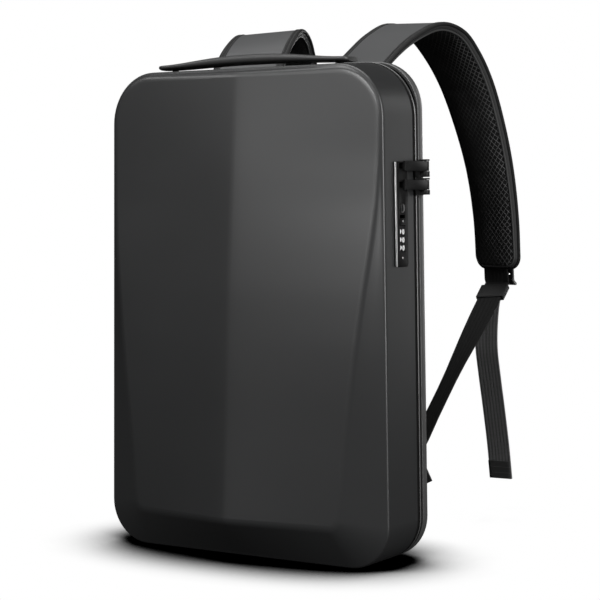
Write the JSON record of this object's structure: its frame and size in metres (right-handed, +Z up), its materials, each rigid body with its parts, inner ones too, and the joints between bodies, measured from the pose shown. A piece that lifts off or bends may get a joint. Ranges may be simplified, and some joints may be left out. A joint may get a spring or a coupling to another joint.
{
  "type": "hard shell backpack",
  "caption": "Hard shell backpack with a faceted front shell, a combination lock for its zip pulls, a carrying handle, a padded back panel and shoulder straps.",
  "frame": {"origin": "centre of the flat base, on the floor, at the depth of the lock's middle", "axes": "+Z up, +X to the side with the lock, -Y to the faceted front, +Y to the back panel and the straps"},
  "size_m": [0.3101, 0.357, 0.493],
  "materials": {
    "shell": "satin",
    "lining": "woven",
    "mesh": "diamond mesh",
    "zip": "matte",
    "grip": "satin",
    "plastic": "satin",
    "trim": "brushed",
    "dial": "satin with white digits",
    "core": "turned",
    "slider": "black, satin",
    "strap": "coated, smooth",
    "webbing": "ribbed weave",
    "buckle": "glossy"
  },
  "bodies": {
    "bag": {"front_shell": "shell", "rear_shell": "lining", "zip_chain": "zip", "back_panel": "mesh", "top_handle": "grip", "handle_post_left": "plastic", "handle_post_right": "plastic", "lock_body": "plastic", "lock_trim": "trim", "zip_slider_upper": "slider", "zip_slider_lower": "slider", "strap_face_right": "strap", "strap_pad_right": "mesh", "strap_tab_right": "webbing", "strap_buckle_right": "buckle", "strap_web_right": "webbing", "web_keeper_right": "webbing", "web_anchor_right": "webbing", "strap_face_left": "strap", "strap_pad_left": "mesh", "strap_tab_left": "webbing", "strap_buckle_left": "buckle", "strap_web_left": "webbing", "web_keeper_left": "webbing", "web_anchor_left": "webbing"},
    "dial_1": {"lock_dial_1": "dial"},
    "dial_2": {"lock_dial_2": "dial"},
    "dial_3": {"lock_dial_3": "dial"},
    "key_core": {"lock_key_core": "core"},
    "release": {"lock_release": "plastic"},
    "pull_upper": {"zip_pull_upper": "slider"},
    "pull_lower": {"zip_pull_lower": "slider"}
  },
  "joints": [
    {"name": "dial_1_turn", "type": "hinge", "parent": "bag", "child": "dial_1", "pos_m": [0.14155, 0.00175, 0.29399], "axis": [-0.0146, 0, 0.9999], "continuous": true},
    {"name": "dial_2_turn", "type": "hinge", "parent": "bag", "child": "dial_2", "pos_m": [0.14165, 0.00175, 0.28694], "axis": [-0.0146, 0, 0.9999], "continuous": true},
    {"name": "dial_3_turn", "type": "hinge", "parent": "bag", "child": "dial_3", "pos_m": [0.14175, 0.00175, 0.27989], "axis": [-0.0146, 0, 0.9999], "continuous": true},
    {"name": "key_turn", "type": "hinge", "parent": "bag", "child": "key_core", "pos_m": [0.14563, 0.00145, 0.315], "axis": [0.9976, -0.068, 0.0145], "range_deg": [0, 90]},
    {"name": "release_slide", "type": "slide", "parent": "bag", "child": "release", "axis": [-0.0146, 0, 0.9999], "range_m": [0, 0.003], "stiffness_N_per_m": 300, "springref_m": -0.001},
    {"name": "pull_upper_swing", "type": "hinge", "parent": "bag", "child": "pull_upper", "pos_m": [0.15357, 0.03301, 0.35162], "axis": [-0.0146, 0, 0.9999], "range_deg": [0, 140]},
    {"name": "pull_lower_swing", "type": "hinge", "parent": "bag", "child": "pull_lower", "pos_m": [0.15381, 0.03301, 0.33522], "axis": [-0.0146, 0, 0.9999], "range_deg": [0, 140]}
  ]
}
